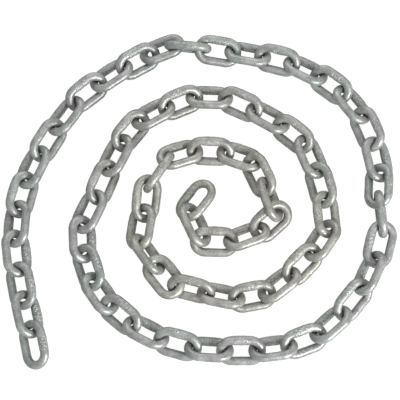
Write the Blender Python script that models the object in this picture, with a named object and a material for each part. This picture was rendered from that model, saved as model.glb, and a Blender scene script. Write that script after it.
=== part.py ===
"""A length of welded steel chain, laid down as a loose flat spiral.

The chain lies as it would after it is coiled by hand on a level floor. Each link leans on the
next one, by turns to the inner and to the outer side of the spiral, and its low bar touches the
floor. Three links stand on edge, where the way of leaning changes over. The links are numbered
from the free end in the middle of the spiral to the free end on the outside.
"""

import math

import bpy
import numpy as np

MM = 0.001

# One link: round wire bent to a slot, with its two half round crowns joined by straight bars
WIRE_DIAMETER = 7.0 * MM
INNER_LENGTH = 25.8 * MM
INNER_WIDTH = 11.2 * MM
CROWN_RADIUS = (INNER_WIDTH + WIRE_DIAMETER) / 2
HALF_BAR = (INNER_LENGTH - INNER_WIDTH) / 2

# The weld that closes a link swells the wire in the middle of one bar
WELD_DIAMETER = 7.7 * MM
WELD_LENGTH = 8.0 * MM

# The wire as an eight sided bar whose corners lie on its round, with five flats round each crown
WIRE_SIDES = 8
CROWN_FLATS = 5
FLAT_TURN = math.pi / CROWN_FLATS
MITRE = 1 / math.cos(FLAT_TURN / 2)
SHARP_ANGLE = math.radians(50)

# Distance between the centre lines of two links where they touch, or where zinc has run between
TOUCHING = WIRE_DIAMETER + 0.25 * MM
FROZEN = WIRE_DIAMETER - 1.3 * MM

# Where the chain runs: the middles of some links, by link number, in millimetres
ROUTE = {
    1: (-4, -2), 2: (-4, -22), 3: (12, -38), 5: (57, -20), 7: (48, 18), 8: (33, 35),
    10: (-16, 37), 11: (-34, 20), 13: (-48, -25), 15: (-29, -66), 17: (17, -81), 18: (42, -81),
    19: (64, -72), 21: (98, -36), 22: (103, -14), 24: (91, 34), 25: (76, 54), 27: (34, 79),
    28: (8, 85), 29: (-17, 81), 31: (-57, 56), 34: (-89, -11), 35: (-96, -35), 37: (-80, -79),
    39: (-43, -110), 41: (7, -124), 44: (82, -118), 46: (123, -84), 48: (145, -40), 50: (145, 10),
    51: (146, 34), 53: (126, 79), 55: (88, 109), 57: (40, 123), 59: (-9, 127), 60: (-32, 128),
    63: (-94, 89), 65: (-125, 48), 67: (-145, 2), 69: (-148, -47), 72: (-132, -120),
}

# How the links lean: stretches in which the even links raise their inner bar (1) or outer bar (-1)
LINK_COUNT = 72
STRETCHES = [(1, 5, -1), (6, 10, 1), (11, 15, -1), (16, 48, 1), (49, 58, -1), (59, 72, 1)]
ROLL_INNER_RAISED = 33
ROLL_OUTER_RAISED = -40

# Links whose welded bar is on the inner side of the spiral. All others have it on the outer side.
WELD_INSIDE = [3, 4, 6, 7, 8, 9, 10, 11, 12]

# Links that lie in their own way: heading, roll and pitch in degrees, and rise in millimetres.
# Links 11, 49 and 59 stand on edge, and links 5, 15 and 48 are carried by their neighbours.
OWN_WAY = {
    1: (-129, 30, 0, 0), 5: (43, 25, 0, 1), 6: (110, 59, 0, 0), 7: (117, -37, 0, 0),
    10: (-162, 29, 9, 0), 11: (-126, 83, 0, 0), 12: (-96, -33, -13, 0), 13: (-99, 33, 0, 0),
    14: (-55, -58, 0, 0), 15: (-51, -3, -2, 7), 16: (-16, 57, 0, 0), 47: (63, -52, 0, 0),
    48: (74, 15, 6, 5), 49: (96, 90, 0, 0), 50: (85, -34, -9, 0), 58: (173, -32, 9, 0),
    59: (177, 67, 0, 0), 60: (-157, 32, -9, 0),
}

# Settling: how far each link gives way, for 1 mm sideways: along, across, heading, roll and pitch
SETTLE_PASSES = 24
NUDGES = [1 * MM, 1 * MM, math.radians(3), math.radians(4), math.radians(1)]
TRIAL = 0.01
SOFTNESS = 0.02 * MM ** 2
SMALLEST_SPREAD = 1e-18

# Links of which every third and fourth of six are frozen together with zinc at their crowns
GROUP = 6
FROZEN_FIRST = 3

ZINC_COLOUR = (0.40, 0.40, 0.39, 1.0)
ZINC_METALLIC = 0.85
ZINC_ROUGHNESS = 0.48


def link_rings():
    """Rings of corners round one link in its own plane: middle, outward way and radius of each.

    They run round the front crown, along the welded bar and round the back crown. The flats round a
    crown touch its arc from outside, so a ring between two of them is as wide as their mitre.
    """
    turn = np.linspace(-math.pi / 2, math.pi / 2, CROWN_FLATS + 1)
    mitre = np.full(CROWN_FLATS + 1, MITRE)
    mitre[0] = 1
    mitre[-1] = 1
    front = []
    back = []
    for angle, wide in zip(turn, mitre):
        out = wide * np.array([math.cos(angle), math.sin(angle), 0])
        middle = np.array([HALF_BAR, 0, 0]) + CROWN_RADIUS * out
        front.append((middle, out, WIRE_DIAMETER / 2))
        back.append((-middle, -out, WIRE_DIAMETER / 2))
    weld = []
    for along in (WELD_LENGTH / 2, -WELD_LENGTH / 2):
        weld.append((np.array([along, CROWN_RADIUS, 0]), np.array([0, 1, 0]), WELD_DIAMETER / 2))
    return front + weld + back


def link_corners(rings):
    """Corners of one link, ring by ring."""
    up = np.array([0, 0, 1])
    corners = []
    for middle, out, radius in rings:
        for side in range(WIRE_SIDES):
            spoke = 2 * math.pi * (side + 0.5) / WIRE_SIDES
            corners.append(middle + radius * (math.cos(spoke) * out + math.sin(spoke) * up))
    return np.array(corners)


RINGS = link_rings()
LINE = np.array([middle for middle, _, _ in RINGS])
CORNERS = link_corners(RINGS)


class Link:
    """One link where it lies: middle, heading, roll to the side, pitch of its front, and rise."""

    def __init__(self, number, state, rise):
        self.number = number
        self.state = np.array(state)
        self.rise = rise
        self.weld_side = 1 if number in WELD_INSIDE else -1

    def nudged(self, way, amount):
        """A copy of the link, moved or turned a little in one way."""
        state = self.state.copy()
        state[way] += amount
        return Link(self.number, state, self.rise)

    def laid(self, points):
        """Points of the link's own plane moved to where the link lies, by its rise off the floor."""
        x, y, heading, roll, pitch = self.state
        ahead = np.array([
            math.cos(heading) * math.cos(pitch),
            math.sin(heading) * math.cos(pitch),
            math.sin(pitch),
        ])
        left = np.array([-math.sin(heading), math.cos(heading), 0])
        over = np.cross(ahead, left)
        across = math.cos(roll) * left + math.sin(roll) * over
        axes = np.array([
            self.weld_side * ahead,
            self.weld_side * across,
            np.cross(ahead, across),
        ])
        height = self.rise - (CORNERS @ axes)[:, 2].min()
        return points @ axes + np.array([x, y, height])


def nearest_distance(first, second):
    """Shortest distance between two closed lines of straight pieces."""
    run_a = (np.roll(first, -1, axis=0) - first)[:, None]
    run_b = (np.roll(second, -1, axis=0) - second)[None]
    between = first[:, None] - second[None]
    aa = (run_a * run_a).sum(-1)
    ab = (run_a * run_b).sum(-1)
    bb = (run_b * run_b).sum(-1)
    da = (run_a * between).sum(-1)
    db = (run_b * between).sum(-1)
    spread = np.maximum(aa * bb - ab * ab, SMALLEST_SPREAD)
    on_a = np.clip((ab * db - bb * da) / spread, 0, 1)
    on_b = np.clip((ab * on_a + db) / bb, 0, 1)
    on_a = np.clip((ab * on_b - da) / aa, 0, 1)
    apart = between + on_a[..., None] * run_a - on_b[..., None] * run_b
    return math.sqrt((apart ** 2).sum(-1).min())


def is_frozen_to_next(number):
    """True where zinc joins this link to the next one."""
    return number % GROUP == FROZEN_FIRST


def usual_roll(number):
    """Roll of a link that leans as its neighbours do, by turns to one side and the other."""
    for first, last, even_side in STRETCHES:
        if first <= number <= last:
            side = even_side if number % 2 == 0 else -even_side
            return ROLL_INNER_RAISED if side > 0 else ROLL_OUTER_RAISED
    return 0


def route_place(number):
    """Middle and heading of a link on the smooth curve through the route points."""
    knots = sorted(ROUTE)
    index = max(place for place, knot in enumerate(knots[:-1]) if knot <= number)
    around = [max(index - 1, 0), index, index + 1, min(index + 2, len(knots) - 1)]
    n0, n1, n2, n3 = [knots[place] for place in around]
    p0, p1, p2, p3 = [np.array(ROUTE[knot], dtype=float) * MM for knot in (n0, n1, n2, n3)]
    span = n2 - n1
    run_in = (p2 - p0) / (n2 - n0) * span
    run_out = (p3 - p1) / (n3 - n1) * span
    rise = 3 * (p2 - p1) - 2 * run_in - run_out
    bend = 2 * (p1 - p2) + run_in + run_out
    part = (number - n1) / span
    middle = p1 + part * (run_in + part * (rise + part * bend))
    run = run_in + part * (2 * rise + 3 * part * bend)
    return middle, math.atan2(run[1], run[0])


def lay_links():
    """All links in their first places along the route."""
    links = []
    for number in range(1, LINK_COUNT + 1):
        middle, heading = route_place(number)
        if number in OWN_WAY:
            own_heading, roll, pitch, rise = OWN_WAY[number]
            heading = math.radians(own_heading)
        else:
            roll, pitch, rise = usual_roll(number), 0, 0
        state = [middle[0], middle[1], heading, math.radians(roll), math.radians(pitch)]
        links.append(Link(number, state, rise * MM))
    return links


def spare_room(first, second):
    """How much further apart two neighbours are than they should be."""
    wanted = FROZEN if is_frozen_to_next(first.number) else TOUCHING
    return nearest_distance(first.laid(LINE), second.laid(LINE)) - wanted


def settle(links):
    """Nudge the links, no more than they must be, until each one touches the next.

    Each pass tries every nudge of every link on the room to its neighbours. It then takes the
    smallest set of nudges that would bring all these rooms to nothing.
    """
    joints = len(links) - 1
    for _ in range(SETTLE_PASSES):
        room = np.array([spare_room(a, b) for a, b in zip(links, links[1:])])
        slopes = np.zeros((joints, len(links), len(NUDGES)))
        for index, link in enumerate(links):
            for way, nudge in enumerate(NUDGES):
                moved = link.nudged(way, TRIAL * nudge)
                if index > 0:
                    change = spare_room(links[index - 1], moved) - room[index - 1]
                    slopes[index - 1, index, way] = change / TRIAL
                if index < joints:
                    change = spare_room(moved, links[index + 1]) - room[index]
                    slopes[index, index, way] = change / TRIAL
        slopes = slopes.reshape(joints, -1)
        push = np.linalg.solve(slopes @ slopes.T + SOFTNESS * np.eye(joints), -room)
        steps = np.clip(slopes.T @ push, -1, 1).reshape(len(links), len(NUDGES))
        for link, step in zip(links, steps):
            link.state += step * NUDGES


def centre_footprint(links):
    """Move the whole chain so that its footprint is centred on the origin."""
    corners = np.vstack([link.laid(CORNERS) for link in links])
    middle = (corners.min(axis=0) + corners.max(axis=0)) / 2
    for link in links:
        link.state[:2] -= middle[:2]


def zinc():
    """Dull hot-dip galvanised steel."""
    material = bpy.data.materials.new("galvanised_steel")
    material.use_nodes = True
    shader = material.node_tree.nodes["Principled BSDF"]
    shader.inputs["Base Color"].default_value = ZINC_COLOUR
    shader.inputs["Metallic"].default_value = ZINC_METALLIC
    shader.inputs["Roughness"].default_value = ZINC_ROUGHNESS
    return material


def link_object(name, link, material):
    """A closed mesh of one link, its rings of corners joined by flat faces."""
    corners = link.laid(CORNERS)
    rings = len(LINE)
    faces = []
    for ring in range(rings):
        following = (ring + 1) % rings
        for side in range(WIRE_SIDES):
            beside = (side + 1) % WIRE_SIDES
            faces.append((
                ring * WIRE_SIDES + side,
                following * WIRE_SIDES + side,
                following * WIRE_SIDES + beside,
                ring * WIRE_SIDES + beside,
            ))
    mesh = bpy.data.meshes.new(name)
    centre = corners.mean(axis=0)
    mesh.from_pydata([tuple(corner) for corner in corners - centre], [], faces)
    mesh.shade_smooth()
    mesh.set_sharp_from_angle(angle=SHARP_ANGLE)
    mesh.materials.append(material)
    obj = bpy.data.objects.new(name, mesh)
    obj.location = centre
    bpy.context.collection.objects.link(obj)
    return obj


def frozen_pair(name, first, second, material):
    """Two links joined by the zinc between their crowns, as one closed body."""
    pair = link_object(name, first, material)
    other = link_object(name + "_joined", second, material)
    other.hide_render = True
    other.display_type = "WIRE"
    union = pair.modifiers.new("zinc_bridge", "BOOLEAN")
    union.operation = "UNION"
    union.solver = "EXACT"
    union.object = other
    return pair


def build_chain():
    """Make every link, single or in a frozen pair, and parent them to one empty."""
    material = zinc()
    links = lay_links()
    settle(links)
    centre_footprint(links)
    chain = bpy.data.objects.new("chain", None)
    bpy.context.collection.objects.link(chain)
    number = 1
    while number <= LINK_COUNT:
        link = links[number - 1]
        if is_frozen_to_next(number) and number < LINK_COUNT:
            name = f"links_{number:02d}_{number + 1:02d}"
            obj = frozen_pair(name, link, links[number], material)
            number += 2
        else:
            obj = link_object(f"link_{number:02d}", link, material)
            number += 1
        obj.parent = chain
    return links


for old in list(bpy.data.objects):
    bpy.data.objects.remove(old, do_unlink=True)
CHAIN = build_chain()
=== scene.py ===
"""The looks of a galvanised steel chain that lies in a loose spiral on a pale floor.

Each link is made by Geometry Nodes as round wire with a swollen weld and a coat of lumpy zinc, and is
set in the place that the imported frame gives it. The zinc is one procedural material.
"""

import functools
import logging
import math
from collections.abc import Iterator
from dataclasses import dataclass, field
from enum import Enum
from typing import Any

import bpy
import numpy as np
from mathutils import Matrix, Vector


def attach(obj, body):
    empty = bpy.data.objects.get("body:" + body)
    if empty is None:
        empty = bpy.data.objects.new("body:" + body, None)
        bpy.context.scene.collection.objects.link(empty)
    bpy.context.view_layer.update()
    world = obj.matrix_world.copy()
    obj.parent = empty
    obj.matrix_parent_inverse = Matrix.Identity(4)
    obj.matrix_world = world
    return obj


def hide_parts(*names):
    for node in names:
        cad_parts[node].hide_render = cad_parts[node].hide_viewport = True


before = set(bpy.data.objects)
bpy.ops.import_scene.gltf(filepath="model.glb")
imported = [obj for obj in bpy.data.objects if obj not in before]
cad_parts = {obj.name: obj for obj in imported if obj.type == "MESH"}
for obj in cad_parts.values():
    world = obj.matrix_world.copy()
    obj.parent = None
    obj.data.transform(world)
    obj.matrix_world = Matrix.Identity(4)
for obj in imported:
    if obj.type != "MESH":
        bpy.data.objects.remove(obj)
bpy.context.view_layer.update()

LOG = logging.getLogger("chain")
BODY = "root"
ZINC_SLOT = "galvanised_steel"
MM = 0.001

Colour = tuple[float, float, float, float]


class Tone(Enum):
    """The cast of a link's zinc, as the share of the cool colour in it."""

    WARM = 0.0
    PLAIN = 0.5
    COOL = 1.0


@dataclass(frozen=True)
class Mottle:
    """Noise that breaks up a surface, with so many features to a metre and finer layers on them."""

    scale: float
    detail: float
    finer_strength: float = 0.5


class Value:
    """A node's output on which Python's operators work: each operator adds its Math node."""

    def __init__(self, graph: "Graph", socket: bpy.types.NodeSocket) -> None:
        """Wraps one output socket of a graph."""
        self.graph = graph
        self.socket = socket

    def __add__(self, other: Any) -> "Value":
        """This value plus another."""
        return self.graph.maths("ADD", self, other)

    def __radd__(self, other: Any) -> "Value":
        """A number plus this value."""
        return self.graph.maths("ADD", other, self)

    def __sub__(self, other: Any) -> "Value":
        """This value less another."""
        return self.graph.maths("SUBTRACT", self, other)

    def __rsub__(self, other: Any) -> "Value":
        """A number less this value."""
        return self.graph.maths("SUBTRACT", other, self)

    def __mul__(self, other: Any) -> "Value":
        """This value times another."""
        return self.graph.maths("MULTIPLY", self, other)

    def __rmul__(self, other: Any) -> "Value":
        """A number times this value."""
        return self.graph.maths("MULTIPLY", other, self)

    def __truediv__(self, other: Any) -> "Value":
        """This value divided by another."""
        return self.graph.maths("DIVIDE", self, other)

    def __rtruediv__(self, other: Any) -> "Value":
        """A number divided by this value."""
        return self.graph.maths("DIVIDE", other, self)

    def __pow__(self, other: Any) -> "Value":
        """This value to a power."""
        return self.graph.maths("POWER", self, other)

    def __rpow__(self, other: Any) -> "Value":
        """A number to the power of this value."""
        return self.graph.maths("POWER", other, self)

    def smooth(self, low: float, high: float) -> "Value":
        """A smooth step from 0 at one value to 1 at another.

        Args:
            low: the value at which the step starts.
            high: the value at which it ends.

        Returns:
            The step.
        """
        settings = {"interpolation_type": "SMOOTHSTEP"}
        sockets = {"Value": self, "From Min": low, "From Max": high}
        return self.graph.value("ShaderNodeMapRange", settings, sockets)


class Graph:
    """A node tree, with one method that adds any node to it."""

    def __init__(self, tree: bpy.types.NodeTree) -> None:
        """Wraps a shader tree or a geometry tree."""
        self.tree = tree

    def feed(self, socket: bpy.types.NodeSocket, given: Any) -> None:
        """Sets an input socket to a constant, or links a value or another socket to it."""
        if isinstance(given, Value):
            given = given.socket
        if isinstance(given, bpy.types.NodeSocket):
            self.tree.links.new(given, socket)
        else:
            socket.default_value = given

    def node(self, kind: str, settings: dict[str, Any], sockets: dict[Any, Any]) -> bpy.types.Node:
        """Adds a node.

        Args:
            kind: the node's type.
            settings: its properties, which are set first.
            sockets: constants or links for its inputs, by name or number.

        Returns:
            The new node.
        """
        made = self.tree.nodes.new(kind)
        for name, setting in settings.items():
            setattr(made, name, setting)
        for key, given in sockets.items():
            self.feed(made.inputs[key], given)
        return made

    def value(
        self, kind: str, settings: dict[str, Any], sockets: dict[Any, Any], output: Any = 0
    ) -> Value:
        """Adds a node and wraps one of its outputs.

        Args:
            kind: the node's type.
            settings: its properties.
            sockets: constants or links for its inputs.
            output: the name or number of the output.

        Returns:
            The output.
        """
        return Value(self, self.node(kind, settings, sockets).outputs[output])

    def maths(self, operation: str, *given: Any) -> Value:
        """One Math node on values and numbers."""
        return self.value("ShaderNodeMath", {"operation": operation}, dict(enumerate(given)))

    def mix(self, share: Any, first: Any, second: Any, blend: str = "MIX") -> Value:
        """Mixes two colours.

        Args:
            share: how much of the second colour there is.
            first: the first colour.
            second: the second colour.
            blend: the way of mixing.

        Returns:
            The mixed colour.
        """
        settings = {"data_type": "RGBA", "blend_type": blend}
        return self.value("ShaderNodeMix", settings, {0: share, 6: first, 7: second}, 2)

    def noise(self, place: Any, mottle: Mottle) -> Value:
        """Noise round one half.

        Args:
            place: the point that it is read at.
            mottle: how fine it is.

        Returns:
            The noise, from 0 to 1.
        """
        sockets = {
            "Vector": place, "Scale": mottle.scale,
            "Detail": mottle.detail, "Roughness": mottle.finer_strength,
        }
        return self.value("ShaderNodeTexNoise", {}, sockets)

    def read(self, attribute: str) -> Value:
        """A number that each point of a finished mesh holds, for a material."""
        return self.value("ShaderNodeAttribute", {"attribute_name": attribute}, {}, "Fac")

    def store(self, geometry: Value, attribute: str, number: Value) -> Value:
        """Keeps a number in each point of a shape.

        Args:
            geometry: the shape.
            attribute: the name to keep the number under.
            number: the number.

        Returns:
            The shape with the number in it.
        """
        settings = {"data_type": "FLOAT", "domain": "POINT"}
        sockets = {"Geometry": geometry, "Name": attribute, "Value": number}
        return self.value("GeometryNodeStoreNamedAttribute", settings, sockets)


@dataclass(frozen=True)
class LinkSize:
    """Sizes of one link, as in the part's source."""

    wire_diameter: float = 7.0 * MM
    inner_length: float = 25.8 * MM
    inner_width: float = 11.2 * MM
    weld_diameter: float = 7.7 * MM
    weld_length: float = 8.0 * MM

    @property
    def wire_radius(self) -> float:
        """Half the wire's thickness."""
        return self.wire_diameter / 2

    @property
    def crown_radius(self) -> float:
        """Radius of the centre line round a crown."""
        return (self.inner_width + self.wire_diameter) / 2

    @property
    def half_bar(self) -> float:
        """Half the length of a straight bar."""
        return (self.inner_length - self.inner_width) / 2

    def line(self, count: int) -> np.ndarray:
        """Points along the centre line, in the link's own plane.

        Args:
            count: how many points there are.

        Returns:
            The points, one to a row.
        """
        turn = (np.arange(count) + 0.5) / count * 2 * math.pi
        along = self.crown_radius * np.cos(turn) + self.half_bar * np.sign(np.cos(turn))
        bars = np.linspace(-self.half_bar, self.half_bar, count // 4)
        across = np.full(len(bars), self.crown_radius)
        return np.vstack([
            np.column_stack([along, self.crown_radius * np.sin(turn), np.zeros(count)]),
            np.column_stack([bars, across, np.zeros(len(bars))]),
            np.column_stack([bars, -across, np.zeros(len(bars))]),
        ])


@dataclass
class Place:
    """Where a link lies: its middle, the way it runs and the way to its welded bar."""

    middle: np.ndarray
    ahead: np.ndarray
    across: np.ndarray

    @property
    def axes(self) -> np.ndarray:
        """The link's own three axes, one to a row."""
        return np.array([self.ahead, self.across, np.cross(self.ahead, self.across)])

    def laid(self, points: np.ndarray) -> np.ndarray:
        """Points of the link's own plane, moved to where it lies.

        Args:
            points: the points, one to a row.

        Returns:
            The moved points.
        """
        return points @ self.axes + self.middle

    def turned(self, onward: np.ndarray) -> "Place":
        """The same place, named so that ahead points onward.

        Args:
            onward: the way along the chain here.

        Returns:
            The place with its axes so named.
        """
        ahead = self.ahead if self.ahead @ onward >= 0 else -self.ahead
        return Place(self.middle, ahead, self.across)


def mesh_points(mesh: bpy.types.Mesh) -> np.ndarray:
    """The points of a mesh, one to a row."""
    flat = np.zeros(len(mesh.vertices) * 3, np.float32)
    mesh.vertices.foreach_get("co", flat)
    return flat.reshape(-1, 3).astype(float)


@dataclass(frozen=True)
class LinkFinder:
    """Finds the links in the frame's meshes by their faceted corners."""

    size: LinkSize
    wire_sides: int = 8
    crown_flats: int = 5
    rounds: int = 20
    first_reach: float = 6.0 * MM
    last_reach: float = 0.2 * MM
    rolls_tried: int = 24
    headings_tried: tuple[float, ...] = (0, 20, -20, 40, -40)
    enough: float = 0.8
    decimals: int = 6

    @functools.cached_property
    def corners(self) -> np.ndarray:
        """Corners of one faceted link in its own plane, ring by ring, with the weld across."""
        mitre = 1 / math.cos(math.pi / self.crown_flats / 2)
        wide = np.full(self.crown_flats + 1, mitre)
        wide[[0, -1]] = 1
        crown = np.linspace(-math.pi / 2, math.pi / 2, self.crown_flats + 1)
        rings = []
        for angle, width in zip(crown, wide):
            out = width * np.array([math.cos(angle), math.sin(angle), 0])
            middle = np.array([self.size.half_bar, 0, 0]) + self.size.crown_radius * out
            rings.append((middle, out, self.size.wire_radius))
            rings.append((-middle, -out, self.size.wire_radius))
        for along in (self.size.weld_length / 2, -self.size.weld_length / 2):
            middle = np.array([along, self.size.crown_radius, 0])
            rings.append((middle, np.array([0, 1, 0]), self.size.weld_diameter / 2))
        corners = []
        for middle, out, radius in rings:
            for side in range(self.wire_sides):
                spoke = 2 * math.pi * (side + 0.5) / self.wire_sides
                way = math.cos(spoke) * out + math.sin(spoke) * np.array([0, 0, 1])
                corners.append(middle + radius * way)
        return np.array(corners)

    def nearest(self, points: np.ndarray, place: Place) -> tuple[np.ndarray, np.ndarray]:
        """The mesh's point nearest to each corner of a link.

        Args:
            points: the mesh's points.
            place: where the link lies.

        Returns:
            The number of each nearest point, and its squared distance.
        """
        laid = place.laid(self.corners)
        squares = (laid ** 2).sum(1)[:, None] + (points ** 2).sum(1) - 2 * laid @ points.T
        return squares.argmin(axis=1), squares.min(axis=1)

    def fitted(self, points: np.ndarray, place: Place) -> tuple[int, Place]:
        """Fits the corners of a link to a mesh, from a first guess.

        Args:
            points: the mesh's points.
            place: the guess.

        Returns:
            How many corners lie on a point of the mesh, and the fitted place.
        """
        matched = 0
        for reach in np.geomspace(self.first_reach, self.last_reach, self.rounds):
            nearest, squares = self.nearest(points, place)
            near = squares < reach ** 2
            matched = int(near.sum())
            if matched < self.wire_sides:
                return 0, place
            wanted = points[nearest[near]]
            own = self.corners[near]
            # The turn that brings the link's own corners nearest to the mesh's points
            left, _, right = np.linalg.svd((own - own.mean(0)).T @ (wanted - wanted.mean(0)))
            axes = left @ np.diag([1, 1, np.linalg.det(left @ right)]) @ right
            place = Place(wanted.mean(0) - own.mean(0) @ axes, axes[0], axes[1])
        return matched, place

    def guesses(self, points: np.ndarray, count: int) -> Iterator[Place]:
        """First guesses for a link in a mesh, the likeliest first.

        Args:
            points: the mesh's points.
            count: how many links it holds.

        Yields:
            Places along the mesh, turned and rolled in many ways.
        """
        middle = (points.min(axis=0) + points.max(axis=0)) / 2
        main = np.linalg.svd(points - points.mean(axis=0))[2][0]
        steps = np.arange(count) - (count - 1) / 2
        for heading in self.headings_tried:
            turn = np.array(Matrix.Rotation(math.radians(heading), 3, "Z"))
            ahead = turn @ main
            level = np.cross([0, 0, 1], ahead)
            level /= np.linalg.norm(level)
            over = np.cross(ahead, level)
            for step in steps:
                start = middle + step * self.size.inner_length * main
                for roll in np.arange(self.rolls_tried) * 2 * math.pi / self.rolls_tried:
                    yield Place(start, ahead, math.cos(roll) * level + math.sin(roll) * over)

    def find(self, mesh: bpy.types.Mesh, count: int) -> list[Place]:
        """Finds the links that a node holds.

        Args:
            mesh: the node's mesh.
            count: how many links it holds, one or two.

        Returns:
            Their places, in no set order.
        """
        points = np.unique(np.round(mesh_points(mesh), self.decimals), axis=0)
        guesses = list(self.guesses(points, count))
        places = []
        for _ in range(count):
            best = 0, guesses[0]
            for guess in guesses:
                best = max(best, self.fitted(points, guess), key=lambda found: found[0])
                if best[0] >= self.enough * len(self.corners):
                    break
            matched, place = best
            LOG.info("%s: %d of %d corners found", mesh.name, matched, len(self.corners))
            places.append(place)
            nearest, squares = self.nearest(points, place)
            points = np.delete(points, nearest[squares < self.last_reach ** 2], axis=0)
        return places


@dataclass(frozen=True)
class Zinc:
    """Dull hot-dip zinc: mottled light greys, lumpy on the weld, and darker between two links from
    grime and painted shade.

    An edge is the pair of values between which a step rises from 0 to 1. A dulling adds to the
    roughness, and a rise to the height of the bump.
    """

    dark: Colour = (0.34, 0.34, 0.34, 1)
    light: Colour = (0.62, 0.62, 0.62, 1)
    cool: Colour = (0.95, 1.0, 0.96, 1)
    warm: Colour = (0.983, 1.0, 0.925, 1)
    greenish: Colour = (0.985, 1.0, 0.985, 1)
    rosy: Colour = (1.0, 0.96, 0.99, 1)
    # Dark grey multiplied in between links: painted shade as well as grime.
    grime_and_shade_grey: Colour = (0.45, 0.45, 0.44, 1)
    metallic: float = 0.5
    roughness: float = 0.42
    tint: Mottle = Mottle(45.0, 1.0)
    clouds: Mottle = Mottle(110.0, 4.0, 0.6)
    lumps: Mottle = Mottle(420.0, 2.0)
    specks: Mottle = Mottle(650.0, 0.0)
    grain: Mottle = Mottle(900.0, 3.0, 0.6)
    tint_edge: tuple[float, float] = (0.35, 0.65)
    mottle_edge: tuple[float, float] = (0.34, 0.66)
    speck_edge: tuple[float, float] = (0.48, 0.66)
    grime_and_shade_edge: tuple[float, float] = (0.2, 0.9)
    mottling: float = 0.6
    speck_light: float = 0.5
    grime_and_shade_break: float = 0.5
    cloud_dulling: float = 0.16
    grain_dulling: float = 0.12
    weld_dulling: float = 0.06
    lump_rise: float = 0.8
    grain_rise: float = 0.5
    speck_rise: float = 1.6
    bump_strength: float = 0.7
    bump_height: float = 0.35 * MM

    def material(self) -> bpy.types.Material:
        """Builds the material."""
        made = bpy.data.materials.new(ZINC_SLOT + "_look")
        made.use_nodes = True
        graph = Graph(made.node_tree)
        place = graph.value("ShaderNodeTexCoord", {}, {}, "Object")
        weld = graph.read("weld")
        clouds = graph.noise(place, self.clouds) - 0.5
        grain = graph.noise(place, self.grain) - 0.5
        specks = graph.noise(place, self.specks).smooth(*self.speck_edge) * weld
        mottled = 0.5 + (clouds + grain) * self.mottling
        light = mottled.smooth(*self.mottle_edge) + specks * self.speck_light
        # Painted shade with grime: darker where the link nears its neighbours, broken up by the
        # clouds.
        grime_and_shade_share = (graph.read("shade_and_grime") + clouds * self.grime_and_shade_break).smooth(*self.grime_and_shade_edge)
        dull = clouds * self.cloud_dulling + grain * self.grain_dulling + weld * self.weld_dulling
        rise = graph.noise(place, self.lumps) * self.lump_rise
        rise = rise + grain * self.grain_rise + specks * self.speck_rise
        bump = {"Height": rise, "Strength": self.bump_strength, "Distance": self.bump_height}
        inputs = made.node_tree.nodes["Principled BSDF"].inputs
        inputs["Metallic"].default_value = self.metallic
        graph.feed(inputs["Base Color"], self.colour(graph, place, light, grime_and_shade_share))
        graph.feed(inputs["Roughness"], self.roughness + dull)
        graph.feed(inputs["Normal"], graph.value("ShaderNodeBump", {}, bump, "Normal"))
        return made

    def colour(self, graph: Graph, place: Value, light: Value, grime_and_shade_share: Value) -> Value:
        """The zinc's colour: a grey, its cast, a tint that drifts along the wire, and painted shade
        with grime between links.

        Args:
            graph: the material's tree.
            place: the point on the link.
            light: how light the grey is, from 0 to 1.
            grime_and_shade_share: how much grime and painted shade lies on it, from 0 to 1.

        Returns:
            The colour.
        """
        grey = graph.mix(light, self.dark, self.light)
        cast = graph.mix(graph.read("tone"), self.warm, self.cool)
        drift = graph.noise(place, self.tint).smooth(*self.tint_edge)
        tint = graph.mix(drift, self.greenish, self.rosy)
        before_grime_and_shade = graph.mix(1.0, graph.mix(1.0, grey, cast, "MULTIPLY"), tint, "MULTIPLY")
        # Multiplies in the dark grey as painted shade and grime between links.
        return graph.mix(grime_and_shade_share, before_grime_and_shade, self.grime_and_shade_grey, "MULTIPLY")


@dataclass(frozen=True)
class Matt:
    """A matt sheet for the floor, which may glow as well so that shadows on it are faint."""

    name: str
    colour: Colour
    glow: float

    def material(self) -> bpy.types.Material:
        """Builds the material."""
        made = bpy.data.materials.new(self.name)
        made.use_nodes = True
        shader = made.node_tree.nodes["Principled BSDF"]
        shader.inputs["Base Color"].default_value = self.colour
        shader.inputs["Roughness"].default_value = 1.0
        shader.inputs["Specular IOR Level"].default_value = 0.0
        shader.inputs["Emission Color"].default_value = (1, 1, 1, 1)
        shader.inputs["Emission Strength"].default_value = self.glow
        return made


@dataclass(frozen=True)
class Room:
    """The room round the floor: pale overhead and a little darker at eye level."""

    ceiling: Colour = (0.47, 0.47, 0.47, 1)
    walls: Colour = (0.36, 0.36, 0.36, 1)
    walls_top: float = 0.25
    ceiling_edge: float = 0.85

    def world(self) -> bpy.types.World:
        """Builds the world."""
        made = bpy.data.worlds.new("studio")
        made.use_nodes = True
        graph = Graph(made.node_tree)
        way = graph.value("ShaderNodeTexCoord", {}, {}, "Generated")
        height = graph.value("ShaderNodeSeparateXYZ", {}, {"Vector": way}, "Z")
        share = height.smooth(self.walls_top, self.ceiling_edge)
        colour = graph.mix(share, self.walls, self.ceiling)
        graph.feed(made.node_tree.nodes["Background"].inputs["Color"], colour)
        return made


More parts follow.
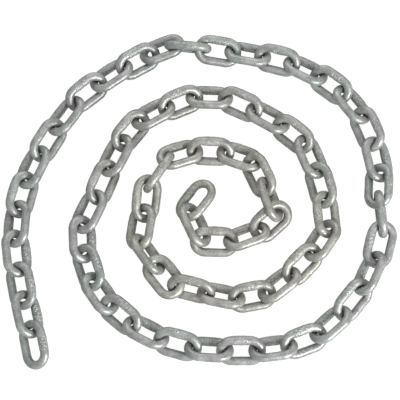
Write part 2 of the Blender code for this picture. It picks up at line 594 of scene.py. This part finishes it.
@dataclass
class WeldedLink:
    """One link as Geometry Nodes make it: round wire, swollen at its weld, under lumpy zinc.

    A weld's swell is drawn for each link, as a share of the wire's thickness. Its side is how far
    out across the link the weld starts and is whole, as shares of the crown's radius.
    """

    size: LinkSize
    zinc: bpy.types.Material
    circle_points: int = 66
    steps_along: int = 120
    steps_around: int = 24
    weld_swells: tuple[float, float] = (0.05, 0.13)
    weld_reach: float = 6.5 * MM
    weld_side: tuple[float, float] = (0.3, 0.9)
    wave_height: float = 0.16 * MM
    wave_scale: float = 130.0
    wave_detail: float = 1.0
    lump_height: float = 0.22 * MM
    lump_scale: float = 420.0
    lump_detail: float = 2.0
    lumps_off_weld: float = 0.35
    # How far from a neighbour's wire the painted shade and grime reach.
    grime_and_shade_reach: float = 3.5 * MM
    seed: int = 7
    last_pattern: float = 100.0
    draws: np.random.Generator = field(init=False)
    tree: bpy.types.NodeTree = field(init=False)
    sockets: dict[str, str] = field(init=False, default_factory=dict)

    def __post_init__(self) -> None:
        """Starts the random draws and builds the tree."""
        self.draws = np.random.default_rng(self.seed)
        self.tree = bpy.data.node_groups.new("welded_link", "GeometryNodeTree")
        self.add_inputs()
        self.build(Graph(self.tree))

    def add_inputs(self) -> None:
        """Gives the tree its named inputs and its output."""
        kinds = {
            "Half bar": "Float", "Crown radius": "Float", "Wire radius": "Float",
            "Steps along": "Int", "Steps around": "Int",
            "Weld swell": "Float", "Weld reach": "Float",
            "Wave height": "Float", "Wave scale": "Float",
            "Lump height": "Float", "Lump scale": "Float",
            "Seed": "Float", "Tone": "Float",
            "Middle": "Vector", "Ahead": "Vector", "Across": "Vector",
            "Zinc": "Material",
        }
        face = self.tree.interface
        for name, kind in kinds.items():
            made = face.new_socket(name=name, in_out="INPUT", socket_type="NodeSocket" + kind)
            self.sockets[name] = made.identifier
        face.new_socket(name="Link", in_out="OUTPUT", socket_type="NodeSocketGeometry")

    def build(self, graph: Graph) -> None:
        """Adds the tree's nodes.

        Args:
            graph: the tree.
        """
        given = graph.node("NodeGroupInput", {}, {}).outputs
        take = {name: Value(graph, given[name]) for name in self.sockets}
        line = graph.store(self.centre_line(graph, take), "weld", self.weld_share(graph, take))
        weld = graph.value("GeometryNodeInputNamedAttribute", {"data_type": "FLOAT"}, {"Name": "weld"})
        circle = {"Resolution": take["Steps around"], "Radius": take["Wire radius"]}
        profile = graph.value("GeometryNodeCurvePrimitiveCircle", {}, circle)
        swept = {"Curve": line, "Profile Curve": profile, "Scale": 1 + weld * take["Weld swell"]}
        wire = graph.value("GeometryNodeCurveToMesh", {}, swept)
        wire = graph.store(self.coated(graph, take, wire, weld), "tone", take["Tone"])
        wire = graph.value("GeometryNodeSetShadeSmooth", {}, {"Geometry": wire})
        spot = graph.value("GeometryNodePoints", {}, {"Count": 1, "Position": take["Middle"]})
        turn = graph.value(
            "FunctionNodeAxesToRotation",
            {"primary_axis": "X", "secondary_axis": "Y"},
            {"Primary Axis": take["Ahead"], "Secondary Axis": take["Across"]},
        )
        laid = {"Points": spot, "Instance": wire, "Rotation": turn}
        link = graph.value("GeometryNodeInstanceOnPoints", {}, laid)
        link = graph.value("GeometryNodeRealizeInstances", {}, {"Geometry": link})
        link = graph.value("GeometryNodeSetMaterial", {}, {"Geometry": link, "Material": take["Zinc"]})
        graph.node("NodeGroupOutput", {}, {"Link": link})

    def centre_line(self, graph: Graph, take: dict[str, Value]) -> Value:
        """The link's centre line: a circle pulled apart into a slot.

        Args:
            graph: the tree.
            take: the tree's inputs.

        Returns:
            The line, with evenly spaced points.
        """
        round_line = {"Resolution": self.circle_points, "Radius": take["Crown radius"]}
        circle = graph.value("GeometryNodeCurvePrimitiveCircle", {}, round_line)
        here = graph.value("GeometryNodeInputPosition", {}, {})
        along = graph.value("ShaderNodeSeparateXYZ", {}, {"Vector": here}, "X")
        shift = graph.maths("SIGN", along) * take["Half bar"]
        offset = graph.value("ShaderNodeCombineXYZ", {}, {"X": shift})
        slot = graph.value("GeometryNodeSetPosition", {}, {"Geometry": circle, "Offset": offset})
        evenly = {"Curve": slot, "Count": take["Steps along"]}
        return graph.value("GeometryNodeResampleCurve", {"mode": "COUNT"}, evenly)

    def weld_share(self, graph: Graph, take: dict[str, Value]) -> Value:
        """How much of the weld a point on the centre line has.

        Args:
            graph: the tree.
            take: the tree's inputs.

        Returns:
            The share, from 0 to 1.
        """
        here = graph.value("GeometryNodeInputPosition", {}, {})
        parts = graph.node("ShaderNodeSeparateXYZ", {}, {"Vector": here}).outputs
        along = Value(graph, parts["X"]) / take["Weld reach"]
        side = Value(graph, parts["Y"]) / take["Crown radius"]
        bell = graph.maths("EXPONENT", along ** 4 * -1)
        return bell * side.smooth(*self.weld_side)

    def uneven(self, graph: Graph, take: dict[str, Value], scale: str, detail: float) -> Value:
        """Noise round nought on the wire, in another pattern on each link.

        Args:
            graph: the tree.
            take: the tree's inputs.
            scale: the name of the input that says how fine it is.
            detail: how many finer layers it has.

        Returns:
            The noise, from -1 to 1.
        """
        here = graph.value("GeometryNodeInputPosition", {}, {})
        sockets = {"Vector": here, "W": take["Seed"], "Scale": take[scale], "Detail": detail}
        return (graph.value("ShaderNodeTexNoise", {"noise_dimensions": "4D"}, sockets) - 0.5) * 2

    def coated(self, graph: Graph, take: dict[str, Value], wire: Value, weld: Value) -> Value:
        """The wire under its zinc: long low waves, and lumps that are higher on the weld.

        Args:
            graph: the tree.
            take: the tree's inputs.
            wire: the wire's mesh.
            weld: how much of the weld a point has.

        Returns:
            The coated wire.
        """
        waves = self.uneven(graph, take, "Wave scale", self.wave_detail) * take["Wave height"]
        lumps = self.uneven(graph, take, "Lump scale", self.lump_detail) * take["Lump height"]
        rise = waves + lumps * (self.lumps_off_weld + weld)
        outward = graph.value("GeometryNodeInputNormal", {}, {})
        pushed = {"Vector": outward, "Scale": rise}
        offset = graph.value("ShaderNodeVectorMath", {"operation": "SCALE"}, pushed)
        return graph.value("GeometryNodeSetPosition", {}, {"Geometry": wire, "Offset": offset})

    def cast(self, name: str, place: Place, tone: Tone) -> bpy.types.Object:
        """Makes one link as a plain mesh.

        Args:
            name: the piece's name.
            place: where the link lies.
            tone: the cast of its zinc.

        Returns:
            The link, at the origin with its place in its mesh.
        """
        inputs = {
            "Half bar": self.size.half_bar, "Crown radius": self.size.crown_radius,
            "Wire radius": self.size.wire_radius,
            "Steps along": self.steps_along, "Steps around": self.steps_around,
            "Weld swell": self.draws.uniform(*self.weld_swells), "Weld reach": self.weld_reach,
            "Wave height": self.wave_height, "Wave scale": self.wave_scale,
            "Lump height": self.lump_height, "Lump scale": self.lump_scale,
            "Seed": self.draws.uniform(0, self.last_pattern), "Tone": tone.value,
            "Middle": tuple(place.middle), "Ahead": tuple(place.ahead),
            "Across": tuple(place.across), "Zinc": self.zinc,
        }
        mesh = self.evaluated(inputs)
        mesh.name = name
        self.stand_on_floor(mesh)
        link = bpy.data.objects.new(name, mesh)
        bpy.context.scene.collection.objects.link(link)
        return link

    def evaluated(self, inputs: dict[str, Any]) -> bpy.types.Mesh:
        """Runs the tree on an empty object, which is removed again.

        Args:
            inputs: a value for each named input.

        Returns:
            What the tree makes.
        """
        mould = bpy.data.objects.new("link_mould", bpy.data.meshes.new("link_mould"))
        modifier = mould.modifiers.new("welded_link", "NODES")
        modifier.node_group = self.tree
        for name, given in inputs.items():
            modifier[self.sockets[name]] = given
        bpy.context.scene.collection.objects.link(mould)
        graph = bpy.context.evaluated_depsgraph_get()
        mesh = bpy.data.meshes.new_from_object(mould.evaluated_get(graph), depsgraph=graph)
        bpy.data.objects.remove(mould, do_unlink=True)
        return mesh

    def paint_grime_and_shade(self, mesh: bpy.types.Mesh, neighbours: list[Place]) -> None:
        """Marks where a link comes close to its neighbours, where grime collects and where the
        material paints shade.

        Args:
            mesh: the link's mesh.
            neighbours: where the links before and after it lie.
        """
        points = mesh_points(mesh)
        lines = np.vstack([place.laid(self.size.line(self.steps_along)) for place in neighbours])
        squares = (points ** 2).sum(1)[:, None] + (lines ** 2).sum(1) - 2 * points @ lines.T
        gap = np.sqrt(np.maximum(squares.min(axis=1), 0)) - self.size.wire_radius
        # Painted shade and grime: 1 where the wire meets a neighbour, fading to 0 at the reach.
        shade_and_grime = np.clip(1 - gap / self.grime_and_shade_reach, 0, 1)
        mesh.attributes.new("shade_and_grime", "FLOAT", "POINT").data.foreach_set("value", shade_and_grime)

    def stand_on_floor(self, mesh: bpy.types.Mesh) -> None:
        """Flattens what would reach through the floor."""
        points = mesh_points(mesh)
        points[:, 2] = np.maximum(points[:, 2], 0)
        mesh.vertices.foreach_set("co", points.ravel())
        mesh.update()


@dataclass
class Chain:
    """The whole chain: a link for each one that the frame's nodes hold."""

    size: LinkSize = field(default_factory=LinkSize)
    last_warm: int = 22
    first_cool: int = 34

    def numbered(self) -> dict[int, tuple[str, Place]]:
        """Finds every link.

        Returns:
            The node and place of each link, by its number along the chain.
        """
        finder = LinkFinder(self.size)
        found: dict[int, tuple[str, Place]] = {}
        for node in sorted(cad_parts, key=lambda name: int(name.split("_")[1])):
            numbers = [int(part) for part in node.split("_")[1:]]
            places = finder.find(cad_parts[node].data, len(numbers))
            before = found.get(numbers[0] - 1)
            if before and len(places) > 1:
                places.sort(key=lambda place: np.linalg.norm(place.middle - before[1].middle))
            for number, place in zip(numbers, places):
                found[number] = (node, place)
        return found

    def tone(self, number: int) -> Tone:
        """The cast of a link's zinc: warm in the inner turn and cool in the outer ones."""
        if number <= self.last_warm:
            return Tone.WARM
        return Tone.COOL if number >= self.first_cool else Tone.PLAIN

    def build(self, zinc: bpy.types.Material) -> list[bpy.types.Object]:
        """Makes every link, parents it to the body's empty and hides the node that it stands in for.

        Args:
            zinc: the links' material.

        Returns:
            The links.
        """
        found = self.numbered()
        caster = WeldedLink(self.size, zinc)
        links = []
        for number, (node, place) in found.items():
            last = found.get(number + 1, found[number])[1].middle
            first = found.get(number - 1, found[number])[1].middle
            lying = place.turned(last - first)
            link = caster.cast(f"chain_link_{number:02d}", lying, self.tone(number))
            beside = [found[near][1] for near in (number - 1, number + 1) if near in found]
            # Marks the painted shade and grime between this link and its neighbours.
            caster.paint_grime_and_shade(link.data, beside)
            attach(link, BODY)
            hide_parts(node)
            links.append(link)
            LOG.info("%s: %d faces", link.name, len(link.data.polygons))
        return links


@dataclass(frozen=True)
class Softbox:
    """A lamp that shines on the middle of the chain from a rectangle."""

    name: str
    place: tuple[float, float, float]
    size: tuple[float, float]
    power: float

    def hang(self, aim: Vector) -> None:
        """Hangs the lamp in its place.

        Args:
            aim: the point that it faces.
        """
        lamp = bpy.data.lights.new(self.name, "AREA")
        lamp.shape = "RECTANGLE"
        lamp.size, lamp.size_y = self.size
        lamp.energy = self.power
        holder = bpy.data.objects.new(self.name, lamp)
        holder.location = self.place
        holder.rotation_mode = "QUATERNION"
        holder.rotation_quaternion = (aim - Vector(self.place)).to_track_quat("-Z", "Y")
        bpy.context.scene.collection.objects.link(holder)


@dataclass
class Studio:
    """Floor, room, lamps and camera."""

    aim: Vector = field(default_factory=lambda: Vector((0.45 * MM, -0.9 * MM, 0)))
    elevation: float = math.radians(77)
    distance: float = 1.05
    view_width: float = 328.8 * MM
    floor_half: float = 12.0
    sheet_gap: float = 0.2 * MM
    pale_floor: Matt = Matt("pale_floor", (0.22, 0.22, 0.22, 1), 0.93)
    mirrored_floor: Matt = Matt("mirrored_floor", (0.6, 0.6, 0.6, 1), 0.0)
    lamps: tuple[Softbox, ...] = (
        Softbox("overhead_softbox", (-0.1, 0.1, 1.5), (1.4, 1.4), 1.2),
        Softbox("key_softbox", (0.57, -0.68, 0.47), (0.40, 0.30), 7.5),
        Softbox("back_softbox", (-0.05, 0.87, 0.50), (0.9, 0.5), 2.5),
    )

    def build(self) -> None:
        """Sets up the whole studio."""
        self.lay_floor()
        bpy.context.scene.world = Room().world()
        for lamp in self.lamps:
            lamp.hang(self.aim)
        self.add_camera()
        bpy.context.scene.view_settings.view_transform = "Standard"

    def lay_floor(self) -> None:
        """Lays the pale floor, and the grey sheet that the chain mirrors in its place."""
        self.lay_sheet(self.pale_floor, seen=True)
        self.lay_sheet(self.mirrored_floor, seen=False)

    def lay_sheet(self, matt: Matt, seen: bool) -> None:
        """Lays one sheet at floor level.

        Args:
            matt: the sheet's look.
            seen: True for the sheet that the camera sees, False for the one that the chain mirrors.
        """
        half = self.floor_half
        corners = [(-half, -half, 0), (half, -half, 0), (half, half, 0), (-half, half, 0)]
        mesh = bpy.data.meshes.new(matt.name)
        mesh.from_pydata(corners, [], [(0, 1, 2, 3)])
        mesh.materials.append(matt.material())
        sheet = bpy.data.objects.new(matt.name, mesh)
        sheet.location.z = 0 if seen else -self.sheet_gap
        sheet.visible_camera = seen
        sheet.visible_glossy = not seen
        sheet.visible_diffuse = not seen
        sheet.visible_shadow = False
        bpy.context.scene.collection.objects.link(sheet)

    def add_camera(self) -> None:
        """Adds the camera, high up and looking down as in the photo."""
        camera = bpy.data.cameras.new("camera")
        camera.lens = camera.sensor_width * self.distance / self.view_width
        back = Vector((0, -math.cos(self.elevation), math.sin(self.elevation)))
        holder = bpy.data.objects.new("camera", camera)
        holder.location = self.aim + back * self.distance
        holder.rotation_mode = "QUATERNION"
        holder.rotation_quaternion = (-back).to_track_quat("-Z", "Y")
        bpy.context.scene.collection.objects.link(holder)
        bpy.context.scene.camera = holder


def main() -> None:
    """Builds the chain and its studio."""
    logging.basicConfig(level=logging.INFO, format="%(name)s: %(message)s")
    links = Chain().build(Zinc().material())
    LOG.info("%d links", len(links))
    Studio().build()
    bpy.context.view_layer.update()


if __name__ == "__main__":
    main()
